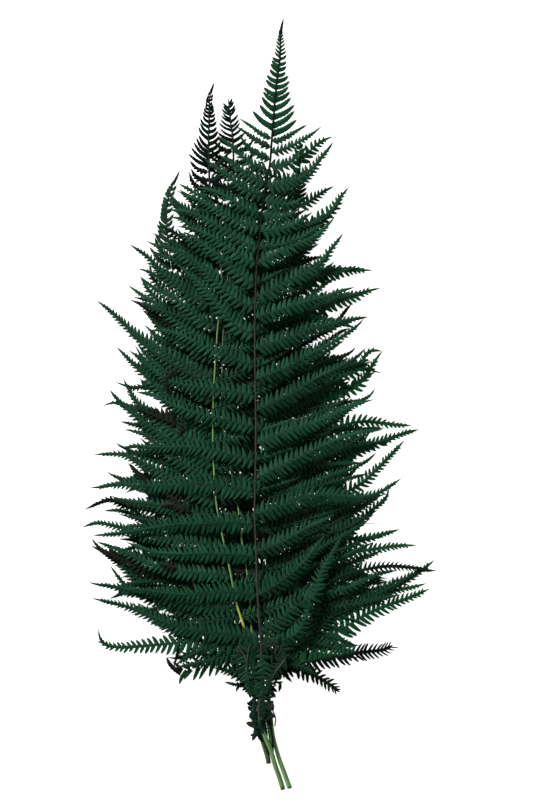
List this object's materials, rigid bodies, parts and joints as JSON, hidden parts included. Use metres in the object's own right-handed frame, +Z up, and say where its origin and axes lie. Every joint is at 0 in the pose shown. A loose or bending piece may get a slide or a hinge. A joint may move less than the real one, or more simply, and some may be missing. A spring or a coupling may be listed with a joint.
{
  "type": "bracken frond bunch",
  "caption": "Dyed and preserved bracken fronds, pressed flat and tied into one bunch at the stalks; lies face up.",
  "frame": {"origin": "middle of the bunch's outline, on the plane it lies on", "axes": "+Y from the cut stalks to the longest tip, +Z up out of the face of the front frond, +X to the right of the front frond seen from above"},
  "size_m": [0.2756, 0.6002, 0.0205],
  "materials": {
    "leaf_front": "dyed matte leaf, blue-green",
    "leaf_upper_left": "dyed matte leaf, dark green with black tip",
    "leaf_middle": "dyed matte leaf, brown black and green",
    "leaf_right": "dyed matte leaf, saturated green",
    "leaf_lower_left": "dyed matte leaf, dark green",
    "cord": "dark twisted cord, matte"
  },
  "bodies": {
    "root": {"frond_front": "leaf_front", "frond_upper_left": "leaf_upper_left", "frond_middle": "leaf_middle", "frond_right": "leaf_right", "frond_lower_left": "leaf_lower_left", "binding_cord": "cord"}
  },
  "joints": []
}
